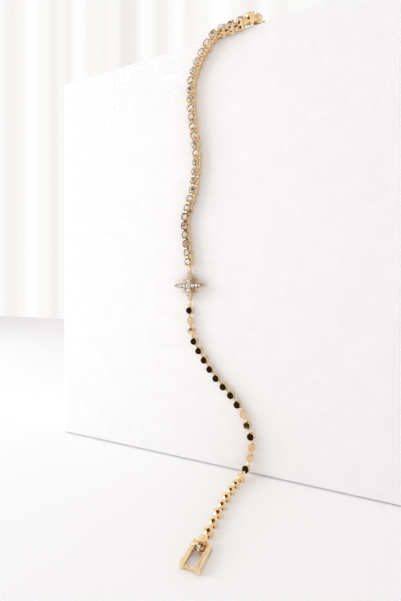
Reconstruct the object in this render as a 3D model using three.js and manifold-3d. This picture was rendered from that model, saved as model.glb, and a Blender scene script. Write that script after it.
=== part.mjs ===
// A bracelet draped over a plain white display block.
// One half is a tennis chain: round cups with a cut stone in each. The other half is a chain of
// short drum beads with flat mirror faces. A small eight-point star joins the two halves, an open
// frame hangs at the free end, and the mating hook lies at the other end on top of the block.
// Millimetres, +Z up. The block's face looks towards -Y. The origin is the middle of its base.

import * as THREE from 'three';
import { mergeVertices } from 'three/addons/utils/BufferGeometryUtils.js';
import Module from 'manifold-3d';

const wasm = await Module();
wasm.setup();

// Display block
const BLOCK_WIDTH = 100;
const BLOCK_DEPTH = 50;
const BLOCK_HEIGHT = 100.5;
const BLOCK_CORNER_RADIUS = 2;
const BLOCK_CORNER_STEPS = 4;
const BLOCK_EDGE_RADIUS = 0.6;
const BLOCK_EDGE_STEPS = 3;

// How the bracelet lies: a little air behind it, and its own bend between face and floor
const LIE_GAP = 0.05;
const FOOT_BEND_RADIUS = 3.5;
const STRING_HEIGHT = 0.76;

// Tennis chain
const CUP_COUNT = 42;
const CUP_PITCH = 2.13;
const CUP_RADIUS = 0.97;
const CUP_RIM = 0.15;
const CUP_FOOT_RADIUS = 0.84;
const CUP_FOOT_HEIGHT = 0.3;
const CUP_HEIGHT = 1.7;
const CUP_SIDES = 12;
const CUP_ROD_RADIUS = 0.18;
const PRONG_COUNT = 4;
const PRONG_RISE = 0.24;
const CUP_CROWN_HEIGHT = 0.28;
const CUP_TABLE_RADIUS = 0.45;

// Bead chain
const BEAD_COUNT = 26;
const BEAD_PITCH = 2.49;
const BEAD_RADIUS = 0.8;
const BEAD_FACE_RADIUS = 0.75;
const BEAD_DEPTH = 1.4;
const BEAD_BELT = 0.5;
const BEAD_SIDES = 12;
const BEAD_ROD_RADIUS = 0.28;
const ROD_SIDES = 5;

// Star
const STAR_BACK = 0.1;
const STAR_FRONT = 2.1;
const STAR_SIDE_ARM = 4.15;
const STAR_UP_ARM = 3.2;
const STAR_DOWN_ARM = 3.1;
const STAR_RAY = 2.5;
const STAR_RAY_ROOT = 0.14;
const STAR_RAY_TIP = 0.06;
const STAR_ARM_TIP = 0.12;
const STAR_RIM = 0.09;
const STAR_HUB_SIDES = 16;
const CENTRE_STONE_RADIUS = 0.62;
const SIDE_STONE_RADII = [0.45, 0.37, 0.28];
const UPRIGHT_STONE_RADII = [0.42, 0.33, 0.25];
const STONE_SPACE = 0.06;
const SEAT_GAP = 0.04;

// A cut stone, as shares of its own radius
const STONE_FACETS = 8;
const STONE_TABLE_SHARE = 0.56;
const STONE_CROWN_SHARE = 0.32;
const STONE_GIRDLE_SHARE = 0.1;
const STONE_PAVILION_SHARE = 0.7;

// Eyes and links
const LINK_WIRE_RADIUS = 0.13;
const LINK_WIRE_SIDES = 6;
const LINK_HALF_HEIGHT = 0.42;
const LINK_BEND_STEPS = 5;
const EYE_RADIUS = 0.36;
const EYE_SIDES = 12;
const EYE_SPACE = 0.08;
const BEAD_NECK = 0.5;

// Open frame at the free end
const FRAME_LENGTH = 4.95;
const FRAME_WIDTH = 3.25;
const FRAME_HEIGHT = 1.1;
const RAIL_WIDTH = 0.56;
const RAIL_CHAMFER = 0.14;
const CROSSBAR_RADIUS = 0.17;
const CROSSBAR_SETBACK = 1.65;
const END_BAR_LENGTH = 0.35;
const END_BAR_HEIGHT = 0.4;
const END_BAR_SETBACK = 0.2;

// Hidden hook on top of the block, one plain piece
const HOOK_LENGTH = 6;
const HOOK_WIDTH = 1.6;
const HOOK_HEIGHT = 1.1;
const HOOK_CORNER = 0.3;

// The way the bracelet takes, from its free end to its hidden end.
// Columns: the surface it lies on, millimetres across from the block's middle, and the place:
// on the floor the distance out from the face, on the foot bend and over the top edge the
// degrees turned, on the face the height, and on top the distance in from the face.
// The last column is how far the bracelet stands off that surface.
const ROUTE = [
  ['floor', 3.5, 36, 0],
  ['floor', 4.1, 29, 0],
  ['floor', 4.3, 22, 0],
  ['floor', 4.25, 17, 0],
  ['floor', 4.25, 12.5, 0],
  ['floor', 4.45, 8.5, 0],
  ['floor', 4.85, 5.4, 0],
  ['foot', 5.7, 45, 0],
  ['face', 6.6, 5.4, 0],
  ['face', 6.75, 7.9, 0],
  ['face', 6.1, 10.2, 0],
  ['face', 4.9, 13.2, 0],
  ['face', 2.35, 17.0, 0],
  ['face', -1.8, 21.2, 0],
  ['face', -4.9, 25.4, 0],
  ['face', -7.5, 29.7, 0],
  ['face', -8.45, 33.5, 0],
  ['face', -8.6, 37, 0],
  ['face', -8.55, 42.6, 0],
  ['face', -8.8, 48.4, 0],
  ['face', -9.45, 53.5, 0],
  ['face', -9.8, 58.4, 0],
  ['face', -8.9, 61.8, 0],
  ['face', -7.8, 64.9, 0],
  ['face', -7.25, 69.0, 0],
  ['face', -6.9, 72.4, 0],
  ['face', -7.35, 76.3, 0],
  ['face', -8.0, 81.0, 0],
  ['face', -8.5, 86.2, 0],
  ['face', -8.4, 90.6, 0],
  ['face', -7.4, 93.6, 0],
  ['face', -6.1, 96.0, 0],
  ['face', -4.6, 98.0, 0.05],
  ['edge', -2.6, 5, 0.1],
  ['edge', -0.1, 14, 0.2],
  ['edge', 2.5, 24, 0.35],
  ['edge', 4.9, 42, 0.45],
  ['top', 6.6, 1.2, 0.5],
  ['top', 7.2, 4.2, 0.25],
  ['top', 6.8, 10, 0],
  ['top', 5.8, 15, 0],
  ['top', 5.4, 20, 0],
  ['top', 5.4, 28, 0],
  ['top', 5.4, 36, 0],
];
const ROUTE_STEPS = 9000;
const STAR_HEIGHT_ON_FACE = 42.65;

// Colours of the pieces
const GOLD = { color: 0xd9a85c, roughness: 0.22, metalness: 1 };
const STONE = { color: 0xeef0f2, roughness: 0.05, metalness: 0 };
const WHITE_COVER = { color: 0xf1eff2, roughness: 0.85, metalness: 0 };

// The line behind the bracelet, seen from the side
const faceY = -BLOCK_DEPTH / 2;
const footLength = Math.PI * FOOT_BEND_RADIUS / 2;
const faceLength = BLOCK_HEIGHT - BLOCK_EDGE_RADIUS - LIE_GAP - FOOT_BEND_RADIUS;
const overRadius = BLOCK_EDGE_RADIUS + LIE_GAP;
const overLength = Math.PI * overRadius / 2;

// Length along that line, from the start of the foot bend
function lengthTo(surface, place) {
  if (surface === 'floor') return LIE_GAP + FOOT_BEND_RADIUS - place;
  if (surface === 'foot') return footLength * place / 90;
  if (surface === 'face') return footLength + place - LIE_GAP - FOOT_BEND_RADIUS;
  if (surface === 'edge') return footLength + faceLength + overLength * place / 90;
  return footLength + faceLength + overLength + place - BLOCK_EDGE_RADIUS;
}

// Point and outward direction of that line at a length along it
function behind(length) {
  const bendY = faceY - LIE_GAP - FOOT_BEND_RADIUS;
  const bendZ = LIE_GAP + FOOT_BEND_RADIUS;
  const overY = faceY + BLOCK_EDGE_RADIUS;
  const overZ = BLOCK_HEIGHT - BLOCK_EDGE_RADIUS;
  const upFace = length - footLength;
  const over = upFace - faceLength;
  if (length < 0) {
    return { y: bendY + length, z: LIE_GAP, turn: 0 };
  }
  if (upFace < 0) {
    const turn = length / FOOT_BEND_RADIUS;
    const y = bendY + FOOT_BEND_RADIUS * Math.sin(turn);
    return { y, z: bendZ - FOOT_BEND_RADIUS * Math.cos(turn), turn };
  }
  if (over < 0) {
    return { y: faceY - LIE_GAP, z: bendZ + upFace, turn: Math.PI / 2 };
  }
  if (over < overLength) {
    const turn = Math.PI / 2 - over / overRadius;
    return { y: overY - overRadius * Math.sin(turn), z: overZ + overRadius * Math.cos(turn), turn };
  }
  return { y: overY + over - overLength, z: BLOCK_HEIGHT + LIE_GAP, turn: 0 };
}

// The smooth way through the route's points, as across, length along and stand-off
const way = new THREE.CatmullRomCurve3(
  ROUTE.map(([surface, across, place, off]) => new THREE.Vector3(across, lengthTo(surface, place), off)),
  false,
  'centripetal',
);

// Stations along the way, each with its back point, outward direction and string point
const stations = [];
for (let i = 0; i <= ROUTE_STEPS; i += 1) {
  const point = way.getPoint(i / ROUTE_STEPS);
  const line = behind(point.y);
  const out = new THREE.Vector3(0, -Math.sin(line.turn), Math.cos(line.turn));
  const back = new THREE.Vector3(point.x, line.y, line.z).addScaledVector(out, point.z);
  const string = back.clone().addScaledVector(out, STRING_HEIGHT);
  stations.push({ length: point.y, back, out, string });
}

// The placement at a station: x across, y along towards the hidden end, z out from the surface
function placementAt(index) {
  const before = stations[Math.max(index - 12, 0)].string;
  const after = stations[Math.min(index + 12, ROUTE_STEPS)].string;
  const along = after.clone().sub(before).normalize();
  const out = stations[index].out.clone();
  out.addScaledVector(along, -out.dot(along)).normalize();
  const across = along.clone().cross(out);
  const matrix = new THREE.Matrix4().makeBasis(across, along, out);
  matrix.setPosition(stations[index].back);
  return matrix;
}

// The station a straight distance away from another, forwards or backwards
function stationFrom(index, distance, direction) {
  let next = index;
  while (stations[next].string.distanceTo(stations[index].string) < distance) {
    next += direction;
  }
  return next;
}

// Solids: a closed geometry becomes a manifold and back
function solidOf(geometry) {
  const bare = new THREE.BufferGeometry();
  bare.setAttribute('position', geometry.getAttribute('position').clone());
  if (geometry.index) bare.setIndex(geometry.index.clone());
  const merged = mergeVertices(bare, 1e-4);
  return new wasm.Manifold(new wasm.Mesh({
    numProp: 3,
    vertProperties: new Float32Array(merged.getAttribute('position').array),
    triVerts: new Uint32Array(merged.index.array),
  }));
}

function geometryOf(solid) {
  const mesh = solid.getMesh();
  const geometry = new THREE.BufferGeometry();
  const points = new Float32Array(mesh.vertProperties);
  geometry.setAttribute('position', new THREE.BufferAttribute(points, mesh.numProp));
  geometry.setIndex(new THREE.BufferAttribute(new Uint32Array(mesh.triVerts), 1));
  return geometry;
}

function union(solids) {
  return solids.reduce((whole, solid) => whole.add(solid));
}

function placed(solid, matrix) {
  return solid.transform(matrix.elements);
}

function shifted(solid, x, y, z) {
  return placed(solid, new THREE.Matrix4().makeTranslation(x, y, z));
}

// A closed body of rings with the same number of points, from the lowest ring to the highest
function ringStack(rings) {
  const sides = rings[0].length;
  const points = rings.flat();
  const low = points.length;
  const high = low + 1;
  const middle = (ring) => ring.reduce((sum, p) => sum.add(p), new THREE.Vector3()).divideScalar(sides);
  const indices = [];
  for (let k = 0; k < sides; k += 1) {
    const next = (k + 1) % sides;
    indices.push(low, next, k);
    for (let r = 0; r + 1 < rings.length; r += 1) {
      const a = r * sides;
      const b = a + sides;
      indices.push(a + k, a + next, b + next, a + k, b + next, b + k);
    }
    const top = (rings.length - 1) * sides;
    indices.push(high, top + k, top + next);
  }
  const all = [...points, middle(rings[0]), middle(rings[rings.length - 1])];
  const geometry = new THREE.BufferGeometry().setFromPoints(all);
  geometry.setIndex(indices);
  return geometry;
}

// A ring of points about z, with a face and not a corner towards x and y
function roundRing(radius, height, sides) {
  const ring = [];
  for (let k = 0; k < sides; k += 1) {
    const angle = 2 * Math.PI * (k + 0.5) / sides;
    ring.push(new THREE.Vector3(radius * Math.cos(angle), radius * Math.sin(angle), height));
  }
  return ring;
}

// A turned body about z from a profile of [radius, height] rows
function turned(profile, sides) {
  return ringStack(profile.map(([radius, height]) => roundRing(radius, height, sides)));
}

// A straight rod between two points
function rod(from, to, radius) {
  const length = from.distanceTo(to);
  const geometry = new THREE.CylinderGeometry(radius, radius, length, ROD_SIDES);
  const along = to.clone().sub(from).normalize();
  const turn = new THREE.Quaternion().setFromUnitVectors(new THREE.Vector3(0, 1, 0), along);
  geometry.applyQuaternion(turn);
  geometry.translate(...from.clone().add(to).multiplyScalar(0.5).toArray());
  return solidOf(geometry);
}

// Display block: rings of a rounded rectangle, drawn in over the top edge
function blockRing(inset, height) {
  const ring = [];
  const radius = Math.max(BLOCK_CORNER_RADIUS - inset, 0);
  const x = BLOCK_WIDTH / 2 - BLOCK_CORNER_RADIUS;
  const y = BLOCK_DEPTH / 2 - BLOCK_CORNER_RADIUS;
  const corners = [[x, y], [-x, y], [-x, -y], [x, -y]];
  corners.forEach(([cx, cy], corner) => {
    for (let k = 0; k <= BLOCK_CORNER_STEPS; k += 1) {
      const angle = (corner + k / BLOCK_CORNER_STEPS) * Math.PI / 2;
      ring.push(new THREE.Vector3(cx + radius * Math.cos(angle), cy + radius * Math.sin(angle), height));
    }
  });
  return ring;
}

function displayBlock() {
  const rings = [blockRing(0, 0)];
  for (let k = 0; k <= BLOCK_EDGE_STEPS; k += 1) {
    const angle = k / BLOCK_EDGE_STEPS * Math.PI / 2;
    const inset = BLOCK_EDGE_RADIUS * (1 - Math.cos(angle));
    const height = BLOCK_HEIGHT - BLOCK_EDGE_RADIUS * (1 - Math.sin(angle));
    rings.push(blockRing(inset, height));
  }
  return ringStack(rings);
}

// A cut stone about z with its girdle's lower edge at height 0: table, crown, girdle, pavilion
function cutStone(radius) {
  const girdle = radius * STONE_GIRDLE_SHARE;
  const table = girdle + radius * STONE_CROWN_SHARE;
  const points = [];
  const ring = (r, height, shift) => {
    for (let k = 0; k < STONE_FACETS; k += 1) {
      const angle = 2 * Math.PI * (k + shift) / STONE_FACETS;
      points.push(new THREE.Vector3(r * Math.cos(angle), r * Math.sin(angle), height));
    }
  };
  ring(radius, 0, 0);
  ring(radius, girdle, 0);
  ring(radius * STONE_TABLE_SHARE, table, 0.5);
  points.push(new THREE.Vector3(0, 0, -radius * STONE_PAVILION_SHARE));
  const culet = points.length - 1;
  const indices = [];
  for (let k = 0; k < STONE_FACETS; k += 1) {
    const next = (k + 1) % STONE_FACETS;
    const low = k + STONE_FACETS;
    const lowNext = next + STONE_FACETS;
    const up = k + 2 * STONE_FACETS;
    const upNext = next + 2 * STONE_FACETS;
    indices.push(culet, next, k);
    indices.push(k, next, lowNext, k, lowNext, low);
    indices.push(low, lowNext, up, lowNext, upNext, up);
    if (k > 0 && k < STONE_FACETS - 1) {
      indices.push(2 * STONE_FACETS, up, upNext);
    }
  }
  const geometry = new THREE.BufferGeometry().setFromPoints(points);
  geometry.setIndex(indices);
  return geometry;
}

// A rim ring whose points stand up where the cup's prongs hold the stone
function prongRing(radius, height) {
  const spacing = CUP_SIDES / PRONG_COUNT;
  const ring = roundRing(radius, height, CUP_SIDES);
  ring.forEach((point, k) => {
    if (k % spacing === Math.floor(spacing / 2)) point.z += PRONG_RISE;
  });
  return ring;
}

// One tennis cup fused with its cut stone: x across, y along, z out, back at z 0
function tennisCup() {
  const seat = CUP_RADIUS - CUP_RIM;
  return solidOf(ringStack([
    roundRing(CUP_FOOT_RADIUS, 0, CUP_SIDES),
    roundRing(CUP_FOOT_RADIUS, CUP_FOOT_HEIGHT, CUP_SIDES),
    prongRing(CUP_RADIUS, CUP_HEIGHT),
    prongRing(seat, CUP_HEIGHT),
    roundRing(seat - STONE_SPACE, CUP_HEIGHT, CUP_SIDES),
    roundRing(CUP_TABLE_RADIUS, CUP_HEIGHT + CUP_CROWN_HEIGHT, CUP_SIDES),
  ]));
}

// One drum bead, back at z 0 of the placement
function drumBead() {
  const low = STRING_HEIGHT - BEAD_DEPTH / 2;
  const high = STRING_HEIGHT + BEAD_DEPTH / 2;
  const profile = [
    [BEAD_FACE_RADIUS, low],
    [BEAD_RADIUS, STRING_HEIGHT - BEAD_BELT / 2],
    [BEAD_RADIUS, STRING_HEIGHT + BEAD_BELT / 2],
    [BEAD_FACE_RADIUS, high],
  ];
  return solidOf(turned(profile, BEAD_SIDES));
}

// A flat eye in the plane of the surface, its middle at x 0, y and the string's height
function flatEye(y) {
  const ring = new THREE.TorusGeometry(EYE_RADIUS, LINK_WIRE_RADIUS, LINK_WIRE_SIDES, EYE_SIDES);
  ring.translate(0, y, STRING_HEIGHT);
  return solidOf(ring);
}

// A closed upright link whose wire passes through two eyes, or an eye and a bar, at y low and high
function uprightLink(low, high) {
  const points = [];
  const bends = [high - LINK_HALF_HEIGHT, low + LINK_HALF_HEIGHT];
  bends.forEach((bendY, half) => {
    for (let k = 0; k <= LINK_BEND_STEPS; k += 1) {
      const angle = (half + k / LINK_BEND_STEPS) * Math.PI;
      const outward = new THREE.Vector3(0, Math.sin(angle), Math.cos(angle));
      const middle = new THREE.Vector3(0, bendY, STRING_HEIGHT).addScaledVector(outward, LINK_HALF_HEIGHT);
      for (let s = 0; s < LINK_WIRE_SIDES; s += 1) {
        const turn = 2 * Math.PI * s / LINK_WIRE_SIDES;
        const point = middle.clone().addScaledVector(outward, LINK_WIRE_RADIUS * Math.cos(turn));
        point.x += LINK_WIRE_RADIUS * Math.sin(turn);
        points.push(point);
      }
    }
  });
  const indices = [];
  for (let here = 0; here < points.length; here += LINK_WIRE_SIDES) {
    const there = (here + LINK_WIRE_SIDES) % points.length;
    for (let s = 0; s < LINK_WIRE_SIDES; s += 1) {
      const next = (s + 1) % LINK_WIRE_SIDES;
      indices.push(here + s, there + next, there + s, here + s, here + next, there + next);
    }
  }
  const geometry = new THREE.BufferGeometry().setFromPoints(points);
  geometry.setIndex(indices);
  return geometry;
}

// Star: arms along its stones, thin rays between them, a round hub
function stonePlaces(radii) {
  const places = [];
  let edge = CENTRE_STONE_RADIUS;
  radii.forEach((radius) => {
    places.push({ radius, distance: edge + STONE_SPACE + radius });
    edge += STONE_SPACE + 2 * radius;
  });
  return places;
}

function extruded(outline, low, high) {
  const shape = new THREE.Shape(outline);
  const geometry = new THREE.ExtrudeGeometry(shape, { depth: high - low, bevelEnabled: false });
  geometry.translate(0, 0, low);
  return solidOf(geometry);
}

function starArm(length, places) {
  const near = places[0];
  const far = places[places.length - 1];
  const half = [
    [0, near.radius + STAR_RIM],
    [near.distance, near.radius + STAR_RIM],
    [far.distance, far.radius + STAR_RIM],
    [length - STAR_ARM_TIP, STAR_ARM_TIP],
  ];
  const left = half.map(([along, wide]) => new THREE.Vector2(-wide, along));
  const right = half.map(([along, wide]) => new THREE.Vector2(wide, along)).reverse();
  return extruded([...left, new THREE.Vector2(0, length), ...right], STAR_BACK, STAR_FRONT);
}

function starRay() {
  const outline = [
    new THREE.Vector2(-STAR_RAY_ROOT, 0),
    new THREE.Vector2(STAR_RAY_ROOT, 0),
    new THREE.Vector2(STAR_RAY_TIP, STAR_RAY - STAR_RAY_TIP),
    new THREE.Vector2(0, STAR_RAY),
    new THREE.Vector2(-STAR_RAY_TIP, STAR_RAY - STAR_RAY_TIP),
  ];
  return extruded(outline, STAR_BACK, STAR_FRONT);
}

function turnedAbout(solid, degrees) {
  return placed(solid, new THREE.Matrix4().makeRotationZ(THREE.MathUtils.degToRad(degrees)));
}

const sidePlaces = stonePlaces(SIDE_STONE_RADII);
const uprightPlaces = stonePlaces(UPRIGHT_STONE_RADII);
const STAR_ARMS = [
  { name: 'up', degrees: 0, length: STAR_UP_ARM, places: uprightPlaces },
  { name: 'left', degrees: 90, length: STAR_SIDE_ARM, places: sidePlaces },
  { name: 'down', degrees: 180, length: STAR_DOWN_ARM, places: uprightPlaces },
  { name: 'right', degrees: 270, length: STAR_SIDE_ARM, places: sidePlaces },
];

// Every star stone with its name, radius and place
const starStones = [{ name: 'star_stone_centre', radius: CENTRE_STONE_RADIUS, x: 0, y: 0 }];
STAR_ARMS.forEach((arm) => {
  const turn = THREE.MathUtils.degToRad(arm.degrees + 90);
  arm.places.forEach(({ radius, distance }, k) => {
    const x = distance * Math.cos(turn);
    const y = distance * Math.sin(turn);
    starStones.push({ name: `star_stone_${arm.name}_${k + 1}`, radius, x, y });
  });
});

// The eye's middle beyond an arm's tip, so that its wire is sunk in the tip
const eyeBeyondTip = EYE_RADIUS - LINK_WIRE_RADIUS;

function starBody() {
  const hub = CENTRE_STONE_RADIUS + STAR_RIM;
  const pieces = [solidOf(turned([[hub, STAR_BACK], [hub, STAR_FRONT]], STAR_HUB_SIDES))];
  STAR_ARMS.forEach((arm) => {
    pieces.push(turnedAbout(starArm(arm.length, arm.places), arm.degrees));
    pieces.push(turnedAbout(starRay(), arm.degrees + 45));
  });
  pieces.push(flatEye(STAR_UP_ARM + eyeBeyondTip));
  pieces.push(flatEye(-STAR_DOWN_ARM - eyeBeyondTip));
  let body = union(pieces);
  starStones.forEach(({ radius, x, y }) => {
    const wide = radius + SEAT_GAP;
    const deep = radius * STONE_PAVILION_SHARE + SEAT_GAP;
    const pocket = turned([[wide, -deep], [wide, radius]], STONE_FACETS);
    const straight = new THREE.Matrix4().makeRotationZ(-Math.PI / STONE_FACETS);
    const seat = placed(solidOf(pocket), straight);
    body = body.subtract(shifted(seat, x, y, STAR_FRONT - radius * STONE_GIRDLE_SHARE));
  });
  return body;
}

// Open frame: two rails, a round crossbar for the link and a thin bar at the free end.
// x across, y along with the crossbar at y 0 and the chain's end above it, z out.
function rail(x) {
  const inner = RAIL_WIDTH / 2;
  const outline = [
    new THREE.Vector2(x - inner, LIE_GAP),
    new THREE.Vector2(x + inner, LIE_GAP),
    new THREE.Vector2(x + inner, FRAME_HEIGHT - RAIL_CHAMFER),
    new THREE.Vector2(x + inner - RAIL_CHAMFER, FRAME_HEIGHT),
    new THREE.Vector2(x - inner + RAIL_CHAMFER, FRAME_HEIGHT),
    new THREE.Vector2(x - inner, FRAME_HEIGHT - RAIL_CHAMFER),
  ];
  const shape = new THREE.Shape(outline);
  const geometry = new THREE.ExtrudeGeometry(shape, { depth: FRAME_LENGTH, bevelEnabled: false });
  geometry.rotateX(Math.PI / 2);
  geometry.translate(0, CROSSBAR_SETBACK, 0);
  return solidOf(geometry);
}

function claspFrame() {
  const reach = (FRAME_WIDTH - RAIL_WIDTH) / 2;
  const left = new THREE.Vector3(-reach, 0, STRING_HEIGHT);
  const right = new THREE.Vector3(reach, 0, STRING_HEIGHT);
  const endBar = new THREE.BoxGeometry(2 * reach, END_BAR_LENGTH, END_BAR_HEIGHT);
  const endY = CROSSBAR_SETBACK - FRAME_LENGTH + END_BAR_SETBACK + END_BAR_LENGTH / 2;
  endBar.translate(0, endY, LIE_GAP + END_BAR_HEIGHT / 2);
  return union([rail(-reach), rail(reach), rod(left, right, CROSSBAR_RADIUS), solidOf(endBar)]);
}

// Hidden hook: a plain rounded bar with an eye, its near end at y 0
function hook() {
  const half = HOOK_WIDTH / 2;
  const c = HOOK_CORNER;
  const outline = [
    new THREE.Vector2(-half + c, 0),
    new THREE.Vector2(half - c, 0),
    new THREE.Vector2(half, c),
    new THREE.Vector2(half, HOOK_LENGTH - c),
    new THREE.Vector2(half - c, HOOK_LENGTH),
    new THREE.Vector2(-half + c, HOOK_LENGTH),
    new THREE.Vector2(-half, HOOK_LENGTH - c),
    new THREE.Vector2(-half, c),
  ];
  return extruded(outline, LIE_GAP, HOOK_HEIGHT).add(flatEye(-eyeBeyondTip));
}

// Where the pieces go, worked out from the star outwards
const starIndex = stations.findIndex((s) => s.length >= lengthTo('face', STAR_HEIGHT_ON_FACE));
// A link between two eyes: their middles stand this far apart, so that their wires stay clear
const eyeToEye = 2 * EYE_RADIUS + 2 * LINK_WIRE_RADIUS + EYE_SPACE;
const cupEye = CUP_RADIUS + eyeBeyondTip;
const beadEye = BEAD_RADIUS + eyeBeyondTip;
const starToCup = STAR_UP_ARM + eyeBeyondTip + eyeToEye + cupEye;
const starToBead = STAR_DOWN_ARM + eyeBeyondTip + eyeToEye + BEAD_NECK + beadEye;

const cupIndices = [stationFrom(starIndex, starToCup, 1)];
while (cupIndices.length < CUP_COUNT) {
  cupIndices.push(stationFrom(cupIndices[cupIndices.length - 1], CUP_PITCH, 1));
}
const beadIndices = [stationFrom(starIndex, starToBead, -1)];
while (beadIndices.length < BEAD_COUNT) {
  beadIndices.push(stationFrom(beadIndices[beadIndices.length - 1], BEAD_PITCH, -1));
}

// One body of cups or beads with the rods between them
function chainOf(unit, indices, rodRadius, ends) {
  const pieces = indices.map((index) => placed(unit, placementAt(index)));
  for (let k = 0; k + 1 < indices.length; k += 1) {
    pieces.push(rod(stations[indices[k]].string, stations[indices[k + 1]].string, rodRadius));
  }
  return union([...pieces, ...ends]);
}

// An eye at the end of a chain, on its short rod
function endEye(index, y) {
  const matrix = placementAt(index);
  const direction = Math.sign(y);
  const from = new THREE.Vector3(0, 0, STRING_HEIGHT);
  const to = new THREE.Vector3(0, y - direction * EYE_RADIUS, STRING_HEIGHT);
  const neck = rod(from, to, LINK_WIRE_RADIUS);
  return placed(flatEye(y).add(neck), matrix);
}

const lastCup = cupIndices[CUP_COUNT - 1];
const lastBead = beadIndices[BEAD_COUNT - 1];
const tennisEnds = [endEye(cupIndices[0], -cupEye), endEye(lastCup, cupEye)];
const beadEnds = [endEye(beadIndices[0], beadEye + BEAD_NECK), endEye(lastBead, -beadEye)];

// The frame hangs on its link past the last bead, the hook past the last cup
const eyeToBar = EYE_RADIUS + LINK_WIRE_RADIUS + EYE_SPACE + CROSSBAR_RADIUS;
const claspLinkReach = eyeToBar + CROSSBAR_RADIUS + EYE_SPACE + LINK_WIRE_RADIUS;
const frameIndex = stationFrom(lastBead, beadEye + eyeToBar, -1);
const cupToHook = cupEye + eyeToEye + eyeBeyondTip;
const hookIndex = stationFrom(lastCup, cupToHook, 1);

// Meshes
const bracelet = new THREE.Group();

function addMesh(name, geometry, look, matrix) {
  const material = new THREE.MeshStandardMaterial({ ...look, flatShading: true });
  const mesh = new THREE.Mesh(geometry, material);
  mesh.name = name;
  if (matrix) {
    matrix.decompose(mesh.position, mesh.quaternion, mesh.scale);
  }
  bracelet.add(mesh);
}

const starPlacement = placementAt(starIndex);
addMesh('display_block', displayBlock(), WHITE_COVER);
addMesh('tennis_chain', geometryOf(chainOf(tennisCup(), cupIndices, CUP_ROD_RADIUS, tennisEnds)), GOLD);
addMesh('bead_chain', geometryOf(chainOf(drumBead(), beadIndices, BEAD_ROD_RADIUS, beadEnds)), GOLD);
addMesh('star_body', geometryOf(starBody()), GOLD, starPlacement);
starStones.forEach(({ name, radius, x, y }) => {
  const seat = STAR_FRONT - radius * STONE_GIRDLE_SHARE;
  const stone = cutStone(radius).translate(x, y, seat);
  addMesh(name, stone, STONE, starPlacement);
});

const upEye = STAR_UP_ARM + eyeBeyondTip;
const downEye = -STAR_DOWN_ARM - eyeBeyondTip;
addMesh('link_above_star', uprightLink(upEye, upEye + eyeToEye), GOLD, starPlacement);
addMesh('link_below_star', uprightLink(downEye - eyeToEye, downEye), GOLD, starPlacement);
const claspLink = uprightLink(-beadEye - claspLinkReach, -beadEye);
addMesh('link_at_clasp', claspLink, GOLD, placementAt(lastBead));
addMesh('clasp_frame', geometryOf(claspFrame()), GOLD, placementAt(frameIndex));
addMesh('link_at_hook', uprightLink(cupEye, cupEye + eyeToEye), GOLD, placementAt(lastCup));
addMesh('clasp_hook', geometryOf(hook()), GOLD, placementAt(hookIndex));

export default bracelet;
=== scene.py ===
# %% [markdown]
# Bracelet draped over a white display block
#
# The real thing is a gold-plated wrist chain in two halves. One half is a row of cups with a cut
# stone in each, the other a row of little drum beads with mirror faces, and a stone-set star joins
# them. It hangs over the edge of a covered block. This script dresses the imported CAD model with
# finer meshes and finishes, in the CAD model's own frame, in metres.

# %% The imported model
import math

import bmesh
import bpy
from mathutils import Matrix, Vector


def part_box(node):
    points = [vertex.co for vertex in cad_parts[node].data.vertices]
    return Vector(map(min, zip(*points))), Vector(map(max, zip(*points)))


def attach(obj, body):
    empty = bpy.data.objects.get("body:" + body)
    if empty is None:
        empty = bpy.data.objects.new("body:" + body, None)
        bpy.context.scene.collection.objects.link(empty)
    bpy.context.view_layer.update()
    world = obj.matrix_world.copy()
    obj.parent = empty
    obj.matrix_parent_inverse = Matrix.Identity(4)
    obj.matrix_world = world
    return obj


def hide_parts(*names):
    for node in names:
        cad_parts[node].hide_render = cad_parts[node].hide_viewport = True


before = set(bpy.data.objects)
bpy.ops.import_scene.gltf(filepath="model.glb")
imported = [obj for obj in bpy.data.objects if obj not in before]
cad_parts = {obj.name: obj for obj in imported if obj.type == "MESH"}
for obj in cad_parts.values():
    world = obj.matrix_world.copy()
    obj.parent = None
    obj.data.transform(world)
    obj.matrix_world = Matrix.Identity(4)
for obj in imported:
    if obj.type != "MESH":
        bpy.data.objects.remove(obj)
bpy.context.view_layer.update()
MM = 0.001

# %% [markdown]
# Small helpers come first. Shader trees and geometry trees are both made of nodes with settings and
# links, so one function serves both. Colours are picked as sRGB hex values, as on a colour card, but
# a shader needs linear light, so one function turns them.

# %% Node and colour helpers
def add_node(tree, kind, inputs=None, **settings):
    node = tree.nodes.new(kind)
    for name, value in settings.items():
        setattr(node, name, value)
    for name, value in (inputs or {}).items():
        if isinstance(value, bpy.types.NodeSocket):
            tree.links.new(value, node.inputs[name])
        else:
            node.inputs[name].default_value = value
    return node


def linear(hex_code):
    channels = [int(hex_code[i:i + 2], 16) / 255 for i in (1, 3, 5)]
    lit = [c / 12.92 if c <= 0.04045 else ((c + 0.055) / 1.055) ** 2.4 for c in channels]
    return (*lit, 1.0)


def new_material(name):
    material = bpy.data.materials.new(name)
    material.use_nodes = True
    material.node_tree.nodes.clear()
    return material, material.node_tree


print("linear mid grey:", [round(c, 3) for c in linear("#808080")])

# %% [markdown]
# The camera stands close in front of the block, a little right of the bracelet, and looks slightly
# left and almost level. The object is nearer than Blender's usual near limit, so that is pulled in.

# %% Camera
CAMERA_PLACE = Vector((22.8, -95.9, 40.65)) * MM
CAMERA_YAW = math.radians(22.28)
CAMERA_PITCH = math.radians(1.12)
CAMERA_ROLL = math.radians(0.44)
CAMERA_LENS = 19.17
SENSOR_WIDTH = 36.0
NEAR_LIMIT = 1 * MM
FAR_LIMIT = 20.0

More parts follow.
